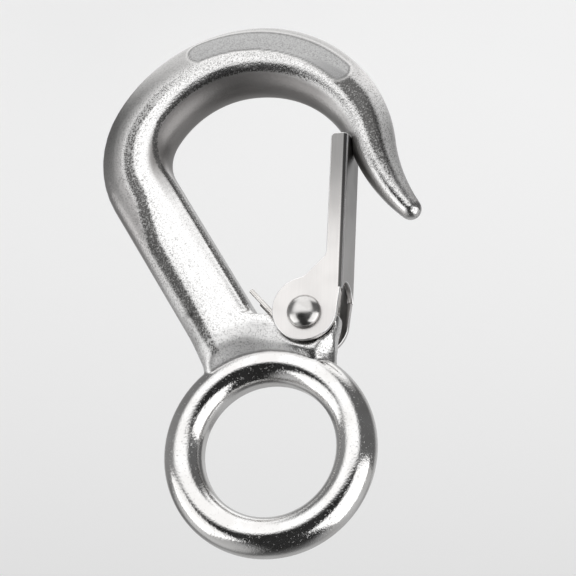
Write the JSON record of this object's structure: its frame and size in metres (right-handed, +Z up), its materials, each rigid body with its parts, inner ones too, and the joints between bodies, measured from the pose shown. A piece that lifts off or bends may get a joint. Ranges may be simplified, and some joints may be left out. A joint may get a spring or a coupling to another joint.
{
  "type": "eye hook with latch",
  "caption": "Cast round-eye hook with a flared beak and a sprung channel latch riveted across its mouth.",
  "frame": {"origin": "centre of the eye, in the middle of its thickness", "axes": "+Z up from the bowl to the eye as the hook hangs, +Y along the eye's axis towards the back, -X towards the latch and the beak tip, +X towards the shank"},
  "size_m": [0.0635, 0.0148, 0.106],
  "materials": {
    "cast_steel": "tumbled and polished stainless casting, mirror bright on the eye and satin on the hook",
    "sheet_steel": "fine satin stainless sheet",
    "rivet_steel": "polished stainless",
    "spring_wire": "drawn bright wire"
  },
  "bodies": {
    "hook": {"hook_body": "cast_steel", "rivet": "rivet_steel", "spring": "spring_wire"},
    "latch": {"latch": "sheet_steel"}
  },
  "joints": [
    {"name": "latch_hinge", "type": "hinge", "parent": "hook", "child": "latch", "pos_m": [-0.0067, 0, -0.02495], "axis": [0, -1, 0], "range_deg": [0, 50], "stiffness_Nm_per_rad": 0.05, "springref_deg": -34.38, "deforming": ["spring"]}
  ]
}
